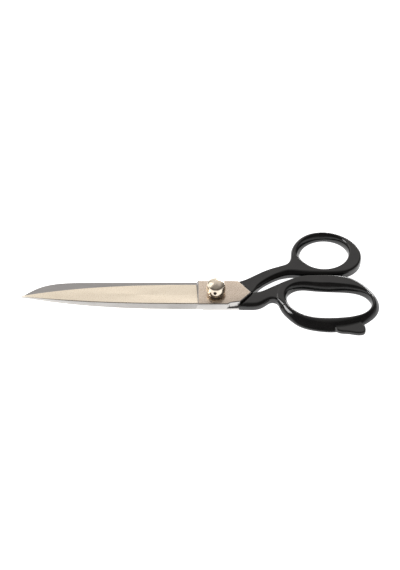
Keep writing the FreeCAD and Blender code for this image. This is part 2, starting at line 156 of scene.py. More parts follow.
def blade_back():
    """The neutral grey ground strip along a blade's back, with lines along the blade."""
    shader = Shader("blade_back", Metallic=1.0)
    lines = shader.noise(1.0, 3.0, 0.6, shader.stretched((250, 6000, 6000)))
    clouds = shader.noise(90.0, 2.0)
    colour = shader.ramp(clouds, [(0.3, (0.47, 0.455, 0.44)), (0.7, (0.53, 0.515, 0.50))])
    rough = shader.ramp(lines, [(0.2, 0.26), (0.85, 0.42)])
    normal = shader.bump(lines, 0.000003, 0.5)
    return shader.drive(Base_Color=colour, Roughness=rough, Normal=normal)


def inner_face():
    """Bare ground steel of the hollow inner faces, with lines along the blade; its darker grey is also laid
    on the heel's walls as painted shade.
    """
    shader = Shader("inner_face", Metallic=1.0)
    lines = shader.noise(1.0, 4.0, 0.65, shader.stretched((140, 9000, 9000)))
    clouds = shader.noise(1.0, 2.0, 0.5, shader.stretched((30, 200, 200)))
    colour = shader.ramp(clouds, [(0.25, (0.33, 0.32, 0.318)), (0.75, (0.40, 0.39, 0.385))])
    rough = shader.ramp(lines, [(0.2, 0.30), (0.85, 0.48)])
    normal = shader.bump(lines, 0.000004, 0.6)
    return shader.drive(Base_Color=colour, Roughness=rough, Normal=normal)


def plate_face():
    """The pivot plate's flat: nickel over a cast-looking, faintly mottled skin."""
    shader = Shader("plate_face", Metallic=1.0)
    mottle = shader.noise(900.0, 4.0, 0.65)
    stains = shader.noise(120.0, 3.0, 0.5)
    colour = shader.ramp(mottle, [(0.35, (0.57, 0.475, 0.385)), (0.65, (0.74, 0.64, 0.54))])
    rough = shader.ramp(stains, [(0.3, 0.2), (0.7, 0.34)])
    normal = shader.bump(mottle, 0.00003, 0.4)
    return shader.drive(Base_Color=colour, Roughness=rough, Normal=normal)


def enamel():
    """Gloss black enamel, hand dipped: long soft waves, a fine orange peel and worn, duller patches."""
    shader = Shader("black_enamel", Specular_IOR_Level=0.58)
    waves = shader.noise(130.0, 2.0, 0.5)
    peel = shader.noise(1500.0, 2.0, 0.5)
    wear = shader.noise(70.0, 4.0, 0.6)
    colour = shader.ramp(wear, [(0.35, (0.007, 0.007, 0.008)), (0.75, (0.014, 0.0135, 0.013))])
    rough = shader.ramp(wear, [(0.35, 0.05), (0.72, 0.13)])
    normal = shader.bump(waves, 0.00008, 0.3)
    normal = shader.bump(peel, 0.000006, 0.5, under=normal)
    return shader.drive(Base_Color=colour, Roughness=rough, Normal=normal)


def polished_nickel():
    """Polished nickel with turning lines round the axis and a few dull smudges."""
    shader = Shader("polished_nickel", Metallic=1.0)
    lines = shader.noise(1.0, 3.0, 0.6, shader.stretched((60, 60, 9000)))
    smudges = shader.noise(240.0, 4.0, 0.6)
    colour = shader.ramp(smudges, [(0.3, (0.58, 0.50, 0.40)), (0.7, (0.74, 0.665, 0.56))])
    rough = shader.ramp(smudges, [(0.35, 0.13), (0.75, 0.26)])
    normal = shader.bump(lines, 0.000002, 0.5)
    return shader.drive(Base_Color=colour, Roughness=rough, Normal=normal)


def turned_steel(name, dark, light, rough_low, rough_high):
    """Turned or blackened steel between two greys, with fine lines round the axis."""
    shader = Shader(name, Metallic=1.0)
    lines = shader.noise(1.0, 3.0, 0.6, shader.stretched((80, 80, 8000)))
    stains = shader.noise(300.0, 4.0, 0.6)
    colour = shader.ramp(stains, [(0.3, dark), (0.75, light)])
    rough = shader.ramp(stains, [(0.3, rough_low), (0.75, rough_high)])
    normal = shader.bump(lines, 0.000003, 0.6)
    return shader.drive(Base_Color=colour, Roughness=rough, Normal=normal)


# ---------------------------------------------------------------- mesh helpers

def mesh_object(name, points, faces):
    """A mesh object in the scene from points in millimetres."""
    mesh = bpy.data.meshes.new(name)
    mesh.from_pydata([tuple(c * MM for c in point) for point in points], [], faces)
    mesh.update()
    made = bpy.data.objects.new(name, mesh)
    bpy.context.scene.collection.objects.link(made)
    return made


def new_piece(name, points, faces, body, replaced):
    """A mesh object that rides on a body and stands for CAD nodes."""
    piece = mesh_object(name, points, faces)
    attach(piece, body)
    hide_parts(*replaced)
    return piece


def tidy_mesh(piece, merge=0.0005):
    """Joins points that coincide, drops faces without area and turns every face outwards."""
    shape = bmesh.new()
    shape.from_mesh(piece.data)
    bmesh.ops.remove_doubles(shape, verts=shape.verts, dist=merge * MM)
    bmesh.ops.dissolve_degenerate(shape, edges=shape.edges, dist=merge * MM)
    bmesh.ops.recalc_face_normals(shape, faces=shape.faces)
    shape.to_mesh(piece.data)
    shape.free()


def apply_modifiers(piece):
    """Turns a piece's modifiers into its mesh."""
    ready = piece.evaluated_get(bpy.context.evaluated_depsgraph_get())
    mesh = bpy.data.meshes.new_from_object(ready)
    piece.modifiers.clear()
    piece.data = mesh


def soften_edges(piece, width, angle=25):
    """Rounds the edges sharper than an angle by a small width, with two segments."""
    bevel = piece.modifiers.new("soft_edges", "BEVEL")
    bevel.width = width * MM
    bevel.segments = 2
    bevel.limit_method = "ANGLE"
    bevel.angle_limit = math.radians(angle)
    bevel.use_clamp_overlap = True
    apply_modifiers(piece)


def shade(piece, materials, choose=lambda face: 0, crisp=180):
    """Gives a piece its materials, and each face the one that choose picks, shaded smooth but for the
    edges sharper than an angle."""
    for material in materials:
        piece.data.materials.append(material)
    for face in piece.data.polygons:
        face.material_index = choose(face)
        face.use_smooth = True
    if crisp < 180:
        piece.data.set_sharp_from_angle(angle=math.radians(crisp))


def cut_away(piece, cutter):
    """Subtracts a mesh object from a piece and deletes it."""
    boolean = piece.modifiers.new("cut", "BOOLEAN")
    boolean.operation = "DIFFERENCE"
    boolean.solver = "EXACT"
    boolean.object = cutter
    apply_modifiers(piece)
    bpy.data.objects.remove(cutter)


def turned_mesh(profile, segments):
    """Points and faces of a profile of (radius, height) pairs turned about the z axis.

    A pair on the axis makes one point."""
    points, faces, rings = [], [], []
    for radius, height in profile:
        if radius < ON_AXIS:
            rings.append([len(points)])
            points.append((0, 0, height))
            continue
        rings.append(list(range(len(points), len(points) + segments)))
        for i in range(segments):
            angle = math.tau * i / segments
            points.append((radius * math.cos(angle), radius * math.sin(angle), height))
    for low, high in zip(rings, rings[1:]):
        for i in range(segments):
            j = (i + 1) % segments
            corners = [low[i % len(low)], low[j % len(low)], high[j % len(high)], high[i % len(high)]]
            faces.append(list(dict.fromkeys(corners)))
    return points, faces


def arc(centre, radius, start, end, count):
    """Points on an arc between two angles in degrees."""
    angles = [math.radians(start + (end - start) * i / count) for i in range(count + 1)]
    return [(centre[0] + radius * math.cos(a), centre[1] + radius * math.sin(a)) for a in angles]


# ---------------------------------------------------------------- smooth outlines

def smooth_curve(points, closed, step):
    """Evenly spaced points on the cubic spline through points."""
    knots = np.array(points + points[:1] if closed else points, float)
    chord = np.linalg.norm(np.diff(knots, axis=0), axis=1)
    reach = np.concatenate([[0], np.cumsum(chord)])
    slope = np.diff(knots, axis=0) / chord[:, None]
    matrix = np.zeros((len(knots), len(knots)))
    right = np.zeros((len(knots), 2))
    for i in range(1, len(knots) - 1):
        matrix[i, i - 1 : i + 2] = chord[i - 1], 2 * (chord[i - 1] + chord[i]), chord[i]
        right[i] = 6 * (slope[i] - slope[i - 1])
    matrix[0, 0] = 1
    if closed:
        matrix[0, -1] = -1
        matrix[-1, [0, 1, -2, -1]] = 2 * chord[0], chord[0], chord[-1], 2 * chord[-1]
        right[-1] = 6 * (slope[0] - slope[-1])
    else:
        matrix[-1, -1] = 1
    bend = np.linalg.solve(matrix, right)
    where = np.linspace(0, reach[-1], round(reach[-1] / step) + 1)
    i = np.clip(np.searchsorted(reach, where, "right") - 1, 0, len(chord) - 1)
    span = chord[i][:, None]
    late = (where - reach[i])[:, None] / span
    early = 1 - late
    curve = early * knots[i] + late * knots[i + 1]
    curve += ((early**3 - early) * bend[i] + (late**3 - late) * bend[i + 1]) * span**2 / 6
    return curve[:-1] if closed else curve


def straight(start, end, step):
    """Evenly spaced points between two corners, without the corners."""
    start, end = np.array(start), np.array(end)
    count = round(np.linalg.norm(end - start) / step)
    return start + (end - start) * (np.arange(1, count) / count)[:, None]


# ---------------------------------------------------------------- forged, rounded solids

LOOP_STEP = 0.25
GRID = 0.42
MARGIN = 3 * GRID
DEEP_INSIDE = -1e9


class Rim:
    """One closed edge of a forging, seen from above, and how it is rounded over along its way.

    rounding holds (x, y, width, drop, power): from that place on the edge, the upper side falls away
    over a width and down a drop, along a superellipse of that power, 2 for round and less for a crease."""

    def __init__(self, loop, rounding, hole=False):
        area = np.sum(loop[:, 0] * np.roll(loop[:, 1], -1) - np.roll(loop[:, 0], -1) * loop[:, 1])
        self.loop = loop if area > 0 else loop[::-1]
        ahead = np.roll(self.loop, -1, 0) - np.roll(self.loop, 1, 0)
        self.along = ahead / np.linalg.norm(ahead, axis=1)[:, None]
        side = -1 if hole else 1
        self.inward = side * np.stack([-self.along[:, 1], self.along[:, 0]], 1)
        self.tree = kdtree.KDTree(len(self.loop))
        for i, (x, y) in enumerate(self.loop):
            self.tree.insert((x, y, 0), i)
        self.tree.balance()
        anchors = sorted((self.tree.find((x, y, 0))[1], shape) for x, y, *shape in rounding)
        count = len(self.loop)
        spots = [index for index, shape in anchors]
        self.shape = [
            np.interp(np.arange(count), spots, [shape[k] for index, shape in anchors], period=count)
            for k in range(3)
        ]

    def near(self, spots):
        """Distance into the metal from the edge, and the nearest edge point, of each spot."""
        index = np.array([self.tree.find((x, y, 0))[1] for x, y in spots])
        away = spots - self.loop[index]
        along = np.sum(away * self.along[index], axis=1)
        inward = np.sum(away * self.inward[index], axis=1)
        corner = np.abs(along) > LOOP_STEP
        distance = np.where(corner, np.sign(inward) * np.hypot(along, inward), inward)
        return distance, index


def rounded(distance, width, height, drop, power):
    """Above 0 outside a rounded edge and below 0 inside it, in about millimetres.

    distance is the way in from the wall, and height the way up from where the rounding starts."""
    out = np.clip(1 - distance / width, 0, None)
    up = np.clip(height / drop, 0, None)
    return ((out**power + up**power) ** (1 / power) - 1) * np.minimum(width, drop)


def forging(rims, spots, heights, half, under):
    """The field of a rounded bar or plate between its rims, negative inside, for spots and heights.

    half is half its thickness, one number or one for each spot, and under the rounding below."""
    near = [rim.near(spots) for rim in rims]
    span = sum(np.clip(distance, 0, None) for distance, index in near)
    total = sum(rim.shape[0][index] for rim, (distance, index) in zip(rims, near))
    fit = np.clip(span / total, 0.05, 1) if len(rims) > 1 else np.ones(len(spots))
    field = np.full((len(spots), len(heights)), DEEP_INSIDE)
    half = np.broadcast_to(half, len(spots))[:, None]
    for rim, (distance, index) in zip(rims, near):
        width, drop, power = (values[index][:, None] for values in rim.shape)
        width = width * fit[:, None]
        distance = distance[:, None]
        upper = rounded(distance, width, heights - (half - drop), drop, power)
        lower = rounded(distance, np.minimum(under, width), -heights - (half - under), under, 2.0)
        field = np.maximum(field, np.maximum(upper, lower))
    return field


def smooth_union(one, other, reach):
    """The union of two fields, with a fillet of about reach where they meet."""
    share = np.clip(0.5 + 0.5 * (other - one) / reach, 0, 1)
    return other + (one - other) * share - reach * share * (1 - share)


def skin(field, low, pitch):
    """Points and quads over a field's zero level, one point in each grid cell that it crosses."""
    inside = field < 0
    cells = np.array(field.shape) - 1
    corners = [np.array((i, j, k)) for i in (0, 1) for j in (0, 1) for k in (0, 1)]
    steps = np.eye(3, dtype=int)
    count = sum(
        inside[i : cells[0] + i, j : cells[1] + j, k : cells[2] + k].astype(int) for i, j, k in corners
    )
    base = np.argwhere((count > 0) & (count < 8))
    number = np.full(cells, -1)
    number[tuple(base.T)] = np.arange(len(base))
    total = np.zeros((len(base), 3))
    hits = np.zeros(len(base))
    for corner in corners:
        for axis in range(3):
            if corner[axis]:
                continue
            start = base + corner
            first, second = field[tuple(start.T)], field[tuple((start + steps[axis]).T)]
            crossed = (first < 0) != (second < 0)
            share = first[crossed] / (first[crossed] - second[crossed])
            total[crossed] += start[crossed] + share[:, None] * steps[axis]
            hits += crossed
    points = low + pitch * total / hits[:, None]
    faces = []
    for axis in range(3):
        across, up = steps[(axis + 1) % 3], steps[(axis + 2) % 3]
        ahead = np.roll(inside, -1, axis)
        start = np.argwhere(inside != ahead)
        start = start[np.all((start > 0) & (start < cells), axis=1)]
        quads = np.stack([number[tuple((start - way).T)] for way in (across + up, up, 0 * up, across)], 1)
        leaving = inside[tuple(start.T)]
        faces.append(np.where(leaving[:, None], quads, quads[:, ::-1]))
    return points, np.concatenate(faces)


SWELL_INWARD = 0.8


def even_out(piece, passes):
    """Evens out the quads of a skin by moving each point towards its neighbours."""
    smooth = piece.modifiers.new("even", "SMOOTH")
    smooth.factor = 0.5
    smooth.iterations = passes
    apply_modifiers(piece)


def swell(piece, depth, size, seed):
    """Gives a piece the slow swell of a hand-dipped coat: moves its points along their normals by noise.

    The noise is mostly inward, so that the piece stays inside the CAD outline."""
    mesh = piece.data
    moved = []
    for point in mesh.vertices:
        spot = point.co / (size * MM) + Vector((seed, seed, seed))
        moved.extend(point.co + point.normal * (noise.noise(spot) - SWELL_INWARD) * depth * MM)
    mesh.vertices.foreach_set("co", moved)
    mesh.update()


# ---------------------------------------------------------------- handles

CHEVRON_ROOT = 18.9
CHEVRON_HALF = 13.0
CHEVRON_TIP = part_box("thumb_blade")[1].x / MM
CHEVRON_SHIFT = 0.385
CHEVRON_REACH = 1.8
JOINT_GAP = 0.03

# The outlines of the handles, as points that a smooth curve passes through.  The thumb's hole is an
# ellipse: the x and y of its middle and half of its width and height.
THUMB_OUTLINE = [
    (25.0, 15.9), (32.1, 20.2), (39.5, 24.6), (46.9, 28.2), (54.3, 30.9), (60.2, 33.6),
    (63.0, 39.0), (63.6, 47.5), (67.9, 58.2), (77.5, 66.2), (91.5, 68.6), (105.5, 65.3),
    (117.0, 57.0), (123.6, 45.0), (121.9, 32.6), (114.0, 24.6), (102.0, 21.9), (88.0, 21.6),
    (74.0, 21.9), (62.5, 22.4), (53.0, 19.6), (44.0, 14.2), (36.5, 7.8), (32.2, 2.6),
]
THUMB_HOLE = (91.9, 45.4, 20.6, 17.7)
FINGER_OUTLINE = [
    (37.5, 2.6), (43.4, 5.4), (50.6, 9.6), (57.9, 13.3), (65.5, 17.0), (74.0, 20.0),
    (85.0, 21.2), (99.5, 21.2), (110.5, 19.6), (120.5, 15.4), (129.0, 8.6), (135.9, -0.2),
    (139.2, -9.8), (137.2, -18.5), (131.2, -25.9), (122.5, -32.0), (111.0, -36.0), (97.0, -37.9),
    (83.0, -36.1), (70.5, -31.4), (61.0, -22.8), (54.3, -12.6), (51.3, -7.0), (48.2, -5.8),
    (42.2, -9.3), (35.8, -12.9), (27.0, -13.6),
]
FINGER_HOLE = [
    (69.5, 8.0), (82.0, 7.7), (96.5, 6.6), (110.0, 5.9), (120.5, 3.9), (128.5, -1.5), (131.9, -9.3),
    (128.3, -18.4), (118.0, -23.9), (104.0, -26.0), (90.0, -26.0), (77.5, -23.4), (67.3, -17.3),
    (61.5, -8.4), (61.8, 2.5),
]
REST_OUTLINE = [
    (101.5, -36.6), (103.6, -38.9), (112.0, -40.4), (122.5, -41.9), (126.4, -40.6), (127.5, -36.6),
    (124.0, -29.5), (113.0, -29.5), (103.0, -32.0),
]

# How each edge is rounded over: x, y, width, drop and power, as Rim says.
THUMB_ROUNDING = [
    (24.4, 7.0, 1.1, 1.0, 2.0),
    (32.1, 20.2, 1.5, 1.5, 2.0),
    (54.3, 30.9, 1.6, 1.6, 2.0),
    (63.6, 47.5, 3.6, 4.4, 1.7),
    (91.5, 68.6, 1.9, 2.0, 2.0),
    (123.6, 45.0, 1.8, 2.2, 2.0),
    (114.0, 24.6, 2.6, 2.8, 2.0),
    (88.0, 21.6, 3.2, 3.6, 1.8),
    (62.5, 22.4, 3.6, 3.7, 1.4),
    (44.0, 14.2, 2.9, 3.4, 1.35),
    (36.5, 7.8, 2.3, 3.0, 1.35),
    (32.2, 2.6, 1.2, 1.5, 2.0),
]
THUMB_HOLE_ROUNDING = [
    (71.3, 45.4, 3.6, 5.6, 1.3),
    (91.9, 63.1, 3.6, 5.6, 1.15),
    (112.5, 45.4, 2.4, 4.6, 1.7),
    (91.9, 27.7, 1.8, 2.6, 2.0),
    (77.0, 33.4, 1.1, 1.4, 2.0),
]
FINGER_ROUNDING = [
    (25.0, -6.2, 2.4, 3.0, 2.0),
    (37.5, 2.6, 1.2, 1.4, 2.0),
    (57.9, 13.3, 1.2, 1.4, 2.0),
    (85.0, 21.2, 2.6, 2.2, 2.0),
    (110.5, 19.6, 3.2, 3.0, 2.0),
    (139.2, -9.8, 4.4, 6.0, 1.4),
    (131.2, -25.9, 6.4, 6.4, 1.3),
    (97.0, -37.9, 8.2, 6.5, 1.25),
    (70.5, -31.4, 7.2, 6.4, 1.3),
    (54.5, -12.8, 4.6, 5.4, 1.4),
    (50.0, -6.2, 2.2, 2.8, 2.0),
    (41.5, -8.8, 3.2, 3.5, 1.6),
    (27.0, -13.4, 3.4, 3.5, 1.5),
]
FINGER_HOLE_ROUNDING = [
    (96.5, 6.6, 5.0, 8.2, 1.2),
    (128.5, -1.5, 3.0, 6.0, 1.4),
    (118.0, -23.9, 2.6, 3.0, 2.0),
    (97.0, -26.0, 2.6, 2.8, 2.0),
    (67.3, -17.3, 2.8, 3.2, 2.0),
    (61.5, -8.4, 3.0, 4.4, 1.8),
    (66.0, 7.4, 4.0, 7.0, 1.3),
]
REST_ROUNDING = [(112.0, -40.9, 1.5, 1.5, 2.0)]
REST_HALF = 2.3
REST_DROP = 0.8
REST_UNDERSIDE_ROUND = 1.5
REST_FILLET = 0.9
UNDERSIDE_ROUND = 2.6
RING_STEP = 0.5
SHANK_FADE = 8


def chevron_loop(points, tip, root):
    """The closed outline of a handle: a smooth curve from the chevron's end round to its start."""
    return np.concatenate([smooth_curve(points, False, LOOP_STEP), straight(tip, root, LOOP_STEP)])


def columns(box):
    """The plan grid over a box of (x, y) corners: its x values, y values and all its spots."""
    (x_low, y_low), (x_high, y_high) = box
    xs = np.arange(x_low - MARGIN, x_high + MARGIN, GRID)
    ys = np.arange(y_low - MARGIN, y_high + MARGIN, GRID)
    return xs, ys, np.stack(np.meshgrid(xs, ys, indexing="ij"), -1).reshape(-1, 2)


def soft_step(value, start, end):
    """0 before start and 1 past end, with a smooth rise between."""
    share = np.clip((value - start) / (end - start), 0, 1)
    return share * share * (3 - 2 * share)


def forged_handle(name, body, rims, ring_width, shank_end, rest=None):
    """A handle's rounded bar or plate.

    Its ring, a width of metal round the hole, stands proud of the flat shank, which ends at an x."""
    box = [np.array(corner)[:2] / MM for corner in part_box(name)]
    xs, ys, spots = columns(box)
    heights = np.arange(-HANDLE_HALF - MARGIN, HANDLE_HALF + MARGIN, GRID)
    outward = rims[1].near(spots)[0]
    on_shank = soft_step(outward, ring_width - 1.0, ring_width + 1.5)
    on_shank *= soft_step(-spots[:, 0], -shank_end, SHANK_FADE - shank_end)
    field = forging(rims, spots, heights, HANDLE_HALF - RING_STEP * on_shank, UNDERSIDE_ROUND)
    if rest:
        tail = forging([rest], spots, heights + REST_DROP, REST_HALF, REST_UNDERSIDE_ROUND)
        field = smooth_union(field, tail, REST_FILLET)
    low = np.array([xs[0], ys[0], heights[0] + MID])
    points, faces = skin(field.reshape(len(xs), len(ys), len(heights)), low, GRID)
    piece = new_piece(name + "_forging", points.tolist(), faces.tolist(), body, [name])
    even_out(piece, 2)
    return piece


def thumb_handle(material):
    """The shank and the thumb ring."""
    root = (CHEVRON_ROOT + JOINT_GAP, CHEVRON_HALF + CHEVRON_SHIFT)
    tip = (CHEVRON_TIP + JOINT_GAP, CHEVRON_SHIFT)
    outer = Rim(chevron_loop([root, *THUMB_OUTLINE, tip], tip, root), THUMB_ROUNDING)
    x, y, long, short = THUMB_HOLE
    angles = np.linspace(0, math.tau, 480, endpoint=False)
    ellipse = np.stack([x + long * np.cos(angles), y + short * np.sin(angles)], 1)
    hole = Rim(ellipse, THUMB_HOLE_ROUNDING, hole=True)
    piece = forged_handle("thumb_handle", "thumb_half", [outer, hole], ring_width=8.5, shank_end=60.0)
    swell(piece, depth=0.12, size=12, seed=3)
    shade(piece, [material])


def finger_handle(material):
    """The shank, the finger bow and the rest that juts from its outer corner."""
    root = (CHEVRON_ROOT + JOINT_GAP, -CHEVRON_HALF - CHEVRON_SHIFT)
    slope = CHEVRON_HALF / (CHEVRON_TIP - CHEVRON_ROOT)
    tip = (CHEVRON_TIP + CHEVRON_REACH + JOINT_GAP, CHEVRON_REACH * slope - CHEVRON_SHIFT)
    outer = Rim(chevron_loop([tip, *FINGER_OUTLINE, root], root, tip), FINGER_ROUNDING)
    hole = Rim(smooth_curve(FINGER_HOLE, True, LOOP_STEP), FINGER_HOLE_ROUNDING, hole=True)
    rest = Rim(smooth_curve(REST_OUTLINE, True, LOOP_STEP), REST_ROUNDING)
    piece = forged_handle("finger_handle", "finger_half", [outer, hole], 8.0, 59.0, rest)
    swell(piece, depth=0.14, size=12, seed=11)
    shade(piece, [material])


# ---------------------------------------------------------------- blades

FACE_GAP = 0.05
PLATE_THICK = (PLATE_TOP - PLATE_FOOT - 2 * FACE_GAP) / 2
PLATE_HALF = 13.6
HEEL_DRAFT = 2.0
SPINE_DRAFT = 1.7
BEVEL = 0.5
BORE_RADIUS = 4.05

# The scoop beside the handle: the x where it leaves the spine, at its foot and at the plate's top, then
# its corners as (x, across), and the x on the plate's front edge that the first two are joined to.
SCOOP_START = 7.1
SCOOP_START_TOP = 10.07
SCOOP_CORNERS = [(12.0, -12.2), (20.36, -10.9)]
SCOOP_FRONTS = (8.5, 13.0)
SCOOP_DRAFT = 1.2

EDGE_HALF = 12.7
EDGE_POWER = 2.4
EDGE_ROUNDNESS = 0.9
TIP_OFFSET = 0.8
TIP_NIB = 0.35
ROOT_THICK = 4.85
TIP_THICK = 1.1
RIDGE_SHARE = 0.1
BEVEL_SHARE = 0.05
BEVEL_FOOT = 0.02
BEVEL_RISE = 0.26
CREASE = 0.5
CREASE_SHARE = 0.03
WAVER = 0.14
WAVER_LENGTH = 14
HOLLOW = 0.3
BLADE_STATIONS = 150
HEEL_CROWDING = 1.3
INNER_RAILS = 6
BETWEEN = (0.34, 0.67)


class Half:
    """What differs between the two halves.

    heel is how far the plate reaches towards the tips, spine the place of the back across the blade,
    front_draft the lean of the plate's front, tip_side the side of the axis that the tip is on, power and
    roundness the curve of the back towards the tip, and flip -1 for the half that is turned over."""

    def __init__(self, name, heel, spine, front_draft, tip_side, power, roundness, flip):
        self.name = name
        self.heel = heel
        self.spine = spine
        self.front_draft = front_draft
        self.tip = tip_side * TIP_OFFSET
        self.power = power
        self.roundness = roundness
        self.flip = flip


THUMB = Half(
    "thumb", heel=15.3, spine=14.4, front_draft=0.3, tip_side=-1, power=2.6, roundness=1.0, flip=1
)
FINGER = Half(
    "finger", heel=10.5, spine=15.2, front_draft=2.2, tip_side=1, power=12.0, roundness=1.5, flip=-1
)


def blade_rails(half, share, x):
    """The blade's section at a share of its length: eight upper points (across, up) and the inner ones."""
    edge_fall = max(0.0, 1 - share**EDGE_POWER) ** EDGE_ROUNDNESS
    back_fall = max(0.0, 1 - share**half.power) ** half.roundness
    edge = half.tip + TIP_NIB + (EDGE_HALF - half.tip - TIP_NIB) * edge_fall
    back = half.tip - TIP_NIB - (half.spine + half.tip - TIP_NIB) * back_fall
    width = edge - back
    thick = TIP_THICK + (ROOT_THICK - TIP_THICK) * (1 - share**3)
    waver = WAVER * noise.noise(Vector((x / WAVER_LENGTH, half.flip, 0)))
    ridge = back + width * RIDGE_SHARE + waver * min(1.0, width / 8)
    bevel = edge - width * BEVEL_SHARE
    upper = [(edge, BEVEL_FOOT * thick), (bevel, BEVEL_RISE * thick)]
    for part in (0.02, *BETWEEN, 1.0):
        upper.append((bevel + (ridge - bevel) * part, (BEVEL_RISE + (1 - BEVEL_RISE) * part) * thick))
    crease = min(CREASE, width * CREASE_SHARE)
    upper += [(ridge - crease, thick - 0.9 * crease), (back, 0.0)]
    inner = []
    for i in range(1, INNER_RAILS):
        part = i / INNER_RAILS
        inner.append((back + width * part, 4 * HOLLOW * part * (1 - part) * thick / ROOT_THICK))
    return upper, inner


def plate_station(half, front, back, x_front, x_back, draft=SPINE_DRAFT):
    """The plate's section between a front and a back point, as rails of (x, across, up)."""
    top = PLATE_THICK
    lean = half.front_draft
    upper = [
        (x_front, front, 0.0),
        (x_front, front - lean * (top - BEVEL) / top, top - BEVEL),
        (x_front, front - lean - BEVEL, top),
    ]
    high_front = upper[2][1]
    high_back = back + draft + BEVEL
    for part in BETWEEN:
        upper.append((x_front + (x_back - x_front) * part, high_front * (1 - part) + high_back * part, top))
    upper.append((x_back, high_back, top))
    upper.append((x_back, back + draft * (top - BEVEL) / top, top - BEVEL))
    upper.append((x_back, back, 0.0))
    inner = []
    for i in range(1, INNER_RAILS):
        part = i / INNER_RAILS
        inner.append((x_back + (x_front - x_back) * part, back + (front - back) * part, 0.0))
    return upper, inner


def blade_stations(half):
    """The blade's stations from the tip to the heel, each a ring of (x, across, up) points.

    They are closer together towards the heel, and the last one leans with the heel's wall."""
    stations = []
    foot = half.heel + HEEL_DRAFT
    for i in range(BLADE_STATIONS):
        share = (1 - i / BLADE_STATIONS) ** HEEL_CROWDING
        x = -(foot + (BLADE_TIP - foot) * share)
        upper, inner = blade_rails(half, share, x)
        stations.append([(x, *rail) for rail in upper + inner])
    upper, inner = blade_rails(half, 0.0, -foot)
    wall = [(-foot + HEEL_DRAFT * up / PLATE_THICK, across, up) for across, up in upper]
    return stations + [wall + [(-foot, *rail) for rail in inner]]


def plate_stations(half):
    """The plate's stations: the heel's wall, the flat round the bore, the scoop and the chevron's tip.

    The scoop starts further from the tips at the plate's top than at its foot, so the upper two points of
    the back, rails 5 and 6, move along."""
    foot = half.heel + HEEL_DRAFT
    front, back = PLATE_HALF, -half.spine
    shoulder = PLATE_THICK - BEVEL
    ring, inner = plate_station(half, front, back, -half.heel, -half.heel)
    low_ring = [(across, min(up, shoulder)) for x, across, up in ring]
    wall = [(-foot + HEEL_DRAFT * up / PLATE_THICK, across, up) for across, up in low_ring]
    stations = [wall + [(-foot, across, up) for x, across, up in inner]]
    for x in (-half.heel + BEVEL, -4.0, 4.0):
        ring, inner = plate_station(half, front, back, x, x)
        stations.append(ring + inner)
    ring, inner = plate_station(half, front, back, SCOOP_FRONTS[0], SCOOP_START)
    for i in (5, 6):
        ring[i] = (SCOOP_START_TOP, *ring[i][1:])
    stations.append(ring + inner)
    root = (CHEVRON_ROOT, CHEVRON_HALF + CHEVRON_SHIFT)
    for (x_front, edge), (x_back, across) in zip([(SCOOP_FRONTS[1], front), root], SCOOP_CORNERS):
        ring, inner = plate_station(half, edge, across, x_front, x_back, SCOOP_DRAFT)
        stations.append(ring + inner)
    low, high = (CHEVRON_TIP, CHEVRON_SHIFT, 0.0), (CHEVRON_TIP, CHEVRON_SHIFT, shoulder)
    top = (CHEVRON_TIP - 1.5 * BEVEL, CHEVRON_SHIFT, PLATE_THICK)
    stations.append([low, high] + [top] * 4 + [high, low] + [low] * (INNER_RAILS - 1))
    return stations


def half_mesh(half):
    """Points and faces of a half, in place: the finger half is the same shape turned over."""
    stations = blade_stations(half) + plate_stations(half)
    count = len(stations[0])
    points = []
    for x, across, up in sum(stations, []):
        points.append((x, half.flip * across, MID + half.flip * (up + FACE_GAP)))
    faces = [list(range(count))]
    for i in range(len(stations) - 1):
        for j in range(count):
            k = (j + 1) % count
            faces.append([i * count + j, i * count + k, (i + 1) * count + k, (i + 1) * count + j])
    return points, faces


# The materials of a blade, in the order that main() makes them in.
FACE, BACK, INNER, PLATE = range(4)


def shears_half(half, materials):
    """One half's plate and blade: ground faces, a hollow inner face and softly broken edges."""
    name = half.name + "_blade"
    points, faces = half_mesh(half)
    piece = new_piece(name + "_ground", points, faces, half.name + "_half", [name])
    tidy_mesh(piece, 0.002)
    bore = turned_mesh([(0, -3), (BORE_RADIUS, -3), (BORE_RADIUS, 14), (0, 14)], 64)
    cut_away(piece, mesh_object("bore", *bore))
    soften_edges(piece, 0.1)

    def choose(face):
        """The inner finish below, its darker grey on the heel's wall as painted shade for the shaded step,
        the plate's flat, and the back's on steep sides.
        """
        x = face.center.x / MM
        up = half.flip * face.normal.z
        inboard = half.flip * face.center.y / MM > 2.5 - half.spine
        # The heel's wall takes the darker inner grey: painted shade for the step in front of the plate.
        if up < -0.5 or (face.normal.x < -0.6 and x > -half.heel - 3 and inboard):
            return INNER
        if x > -half.heel - 0.1:
            return PLATE if up > 0.9 else BACK
        return BACK if up < 0.55 else FACE

    shade(piece, materials, choose, crisp=14)


# ---------------------------------------------------------------- nut and lock screw

NECK_RADIUS = 6.2
NECK_HEIGHT = 1.5
NUT_RADIUS = 8.2
SHOULDER_ROUND = 0.7
BARREL_BULGE = 0.22
BARREL_TAPER = 1.6
CROWN_RADIUS = 7.25
CROWN_HEIGHT = 9.1
DOME = NUT_TOP - NUT_FOOT - CROWN_HEIGHT
NUT_BORE = 3.55
NUT_BORE_DEPTH = 8.4
LOCK_LEVEL = 6.4
LOCK_RADIUS = 1.4
LOCK_FOOT = 3.6
LOCK_SUNK = 1.5
LOCK_ANGLE = 6.0
LOCK_CHAMFER = 0.2
SLOT_DEPTH = 0.75
SLOT_HALF = 0.25


